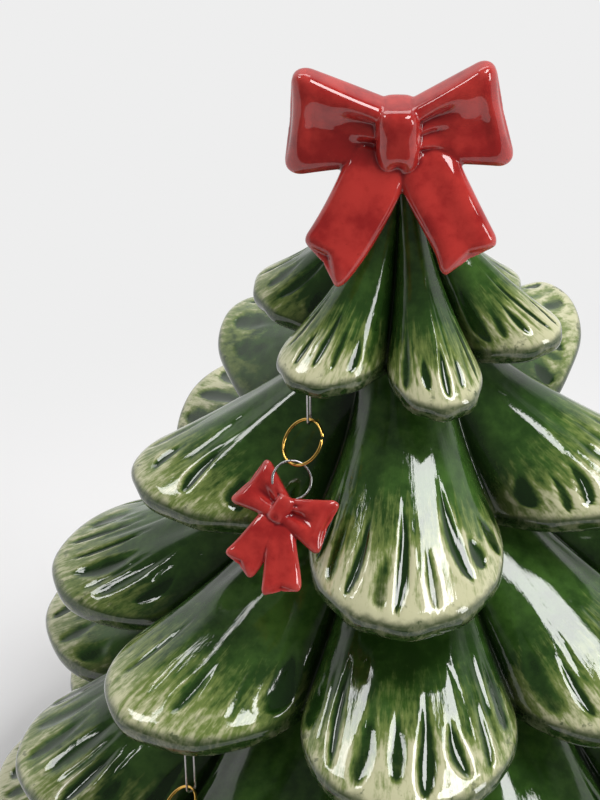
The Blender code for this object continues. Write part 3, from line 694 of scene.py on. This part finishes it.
# Charms: six small glazed bows, each one hung from a wire staple in the underside of a bough by a gold coloured
# split ring and a steel wire eye whose ends are set in the bow beside its knot.
charms = (
    dict(name="1", hook=(-0.019024, -0.021885, 0.1343), ring_bottom=(-0.021567, -0.028508, 0.127611), heading=-21,
         tilt=18, staple_facing=-13, staple_leg=0.01116),
    dict(name="2", hook=(-0.043405, -0.055556, 0.0663), ring_bottom=(-0.048131, -0.061188, 0.059897), heading=-40,
         tilt=12, staple_facing=-46, staple_leg=0.01356),
    dict(name="3", hook=(-0.006523, 0.028255, 0.1368), ring_bottom=(-0.009455, 0.035892, 0.131494), heading=201,
         tilt=10, staple_facing=203, staple_leg=0.00866),
    dict(name="4", hook=(0.0071, 0.050522, 0.1008), ring_bottom=(0.009288, 0.058686, 0.095939), heading=165,
         tilt=16, staple_facing=172, staple_leg=0.00938),
    dict(name="5", hook=(0.046377, 0.049733, 0.0688), ring_bottom=(0.050938, 0.053987, 0.061306), heading=133,
         tilt=8, staple_facing=149, staple_leg=0.01106),
    dict(name="6", hook=(0.068001, -0.0, 0.0688), ring_bottom=(0.074204, -0.000217, 0.06128), heading=88,
         tilt=14, staple_facing=78, staple_leg=0.01106),
)
staple_wire = 0.00055
staple_width = 0.0022
staple_bend = 0.0009
ring_wire = 0.00065
ring_diameter = 0.0104
ring_turn = math.radians(22)
ring_split = 78
ring_opening = 6
ring_step = 0.00022
eye_wire = 0.0005
eye_diameter = 0.0084
eye_turn = math.radians(25)
eye_arc = 300
eye_leg_height = 0.0014
eye_leg_spread = 0.0009
link_gap = 0.0002
knot_overlap = 0.0003
charm_bow_size = dict(
    reaches=(0.0105, 0.0105), root_height=0.0056, end_height=0.0124, loop_angles=(10, 10), loop_thickness=0.0043,
    loop_bend=0.0004, loop_notch=0.0010, dish=0.10,
    folds=(((0.02, 0.22, 0.60, 0.95), (0.55, 0.12, 0.30, 0.40)),
           ((-0.06, 0.22, 0.60, 0.95), (0.50, 0.12, 0.30, 0.40))),
    tail_start=0.0012, tail_lengths=(0.0128, 0.0152), tail_lean=4, tail_bends=((-4, 0, 4, 8), (30, 34, 36, 32)),
    tail_ends=((0.0013, 0.0006), (0.0013, 0.0006)), tail_widths=(0.0056, 0.0082), tail_thickness=0.0028,
    tail_lift=0.0003, knot=(0.0047, 0.0050, 0.0060), knot_shift=0.0, dimple=0.0004, voxel=0.00016, smoothing=14,
)
charm_knot_height = 0.0056


def bent_wire(name, points, diameter):
    """Round wire through points, its ends closed and rounded off."""
    curve = bpy.data.curves.new(name, "CURVE")
    curve.dimensions = "3D"
    curve.bevel_depth = diameter / 2
    curve.bevel_resolution = 5
    curve.use_fill_caps = True
    spline = curve.splines.new("POLY")
    spline.points.add(len(points) - 1)
    for k, (point, position) in enumerate(zip(spline.points, points)):
        point.co = (*position, 1)
        point.radius = 0.7 if k in (0, len(points) - 1) else 1.0
    guide = bpy.data.objects.new(name, curve)
    scene.collection.objects.link(guide)
    bpy.ops.object.select_all(action="DESELECT")
    guide.select_set(True)
    bpy.context.view_layer.objects.active = guide
    bpy.ops.object.convert(target="MESH")
    item = bpy.context.object
    bpy.ops.object.mode_set(mode="EDIT")
    bpy.ops.mesh.select_all(action="SELECT")
    bpy.ops.mesh.remove_doubles(threshold=0.000002)
    bpy.ops.mesh.normals_make_consistent(inside=False)
    bpy.ops.object.mode_set(mode="OBJECT")
    bpy.ops.object.shade_smooth_by_angle(angle=math.radians(50))
    return item


def arc(centre, up, across, radius, start, end, steps=72, spread=0.0):
    """Points on an arc from start to end in degrees, whose end opens outwards by spread."""
    found = []
    for k in range(steps + 1):
        a = math.radians(start + (end - start) * k / steps)
        r = radius + spread * max(0.0, (k / steps - 0.92) / 0.08) ** 2
        found.append(centre + up * r * math.cos(a) + across * r * math.sin(a))
    return found


def wire_metal(name, base, dull, roughness):
    shade = Shade(bpy.data.materials.new(name))
    place = shade.place()
    cloud = shade.noise(place, 700, 3, 0.6)
    scratch = shade.noise(shade.stretch(place, (1.0, 1.0, 6.0)), 2600, 2, 0.7)
    colour = shade.mix((cloud * 0.6 + scratch * 0.4).ramp(0.42, 0.70) * 0.6, base, dull)
    shade.set(base_color=colour, metallic=1.0, roughness=roughness + (scratch - 0.5) * 0.12,
              normal=shade.bump(scratch, 0.08, 0.0001))
    return shade.owner


gold = wire_metal("gold_coloured_wire", (0.90, 0.56, 0.13), (0.52, 0.27, 0.06), 0.16)
steel = wire_metal("steel_wire", (0.50, 0.49, 0.485), (0.27, 0.265, 0.26), 0.26)
small_bow = bow("small_bow", charm_bow_size)
small_bow.data.materials.append(red)
for charm in charms:
    name = charm["name"]
    heading = math.radians(charm["heading"])
    hook, ring_bottom = Vector(charm["hook"]), Vector(charm["ring_bottom"])
    along = (ring_bottom - hook).normalized()
    side = Vector((math.cos(heading), math.sin(heading), 0))
    normal = side.cross(along).normalized()
    normal = normal if normal.z > 0 else -normal

    facing = math.radians(charm["staple_facing"])
    half = Vector((math.sin(facing), -math.cos(facing), 0)) * staple_width / 2
    bar = hook - Vector((0, 0, (ring_wire + staple_wire) / 2 + link_gap))
    up = Vector((0, 0, charm["staple_leg"]))
    bend = Vector((0, 0, staple_bend))
    quarter = [math.radians(90 * k / 8) for k in range(9)]
    left = [bar - half + bend + (half * 0.8 * (1 - math.cos(a)) - bend * math.sin(a)) for a in quarter]
    right = [bar + half + bend - (half * 0.8 * (1 - math.cos(a)) + bend * math.sin(a)) for a in reversed(quarter)]
    staple = bent_wire(f"staple_wire_{name}", [bar - half + up] + left + right + [bar + half + up], staple_wire)

    ring_radius = (ring_diameter - ring_wire) / 2
    ring_across = side * math.cos(ring_turn) + normal * math.sin(ring_turn)
    points = arc(hook + along * ring_radius, -along, ring_across, ring_radius, ring_split,
                 ring_split + 360 - ring_opening, 96, ring_step)
    ring = bent_wire(f"split_ring_{name}", points, ring_wire)

    eye_radius = (eye_diameter - eye_wire) / 2
    eye_centre = ring_bottom + along * (eye_radius - (ring_wire + eye_wire) / 2 - link_gap)
    eye_across = side * math.cos(eye_turn) - normal * math.sin(eye_turn)
    knot_centre = eye_centre + along * (eye_radius + charm_knot_height / 2 - knot_overlap)
    tilt = math.radians(charm["tilt"])
    down = along * math.cos(tilt) - side * math.sin(tilt)
    right_hand = side * math.cos(tilt) + along * math.sin(tilt)
    leg, apart = knot_centre - down * eye_leg_height, right_hand * eye_leg_spread
    points = arc(eye_centre, -along, eye_across, eye_radius, -eye_arc / 2, eye_arc / 2)
    eye = bent_wire(f"wire_eye_{name}", [leg - apart] + points + [leg + apart], eye_wire)

    hung_bow = small_bow.copy()
    hung_bow.data = small_bow.data.copy()
    hung_bow.name = f"small_bow_{name}"
    scene.collection.objects.link(hung_bow)
    axes = Matrix((right_hand, -normal, -down)).transposed().to_4x4()
    hung_bow.data.transform(Matrix.Translation(knot_centre) @ axes)

    pieces = (
        (staple, "tree", "staple", "silver_wire", steel),
        (ring, f"ring_{name}", "jump_ring", "gold_wire", gold),
        (eye, f"charm_{name}", "charm_eye", "silver_wire", steel),
        (hung_bow, f"charm_{name}", "charm_bow", "red_glaze", None),
    )
    for piece, body, node, slot, metal in pieces:
        if metal:
            piece.data.materials.append(metal)
        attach(piece, body)
        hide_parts(f"{node}_{name}")
bpy.data.objects.remove(small_bow)
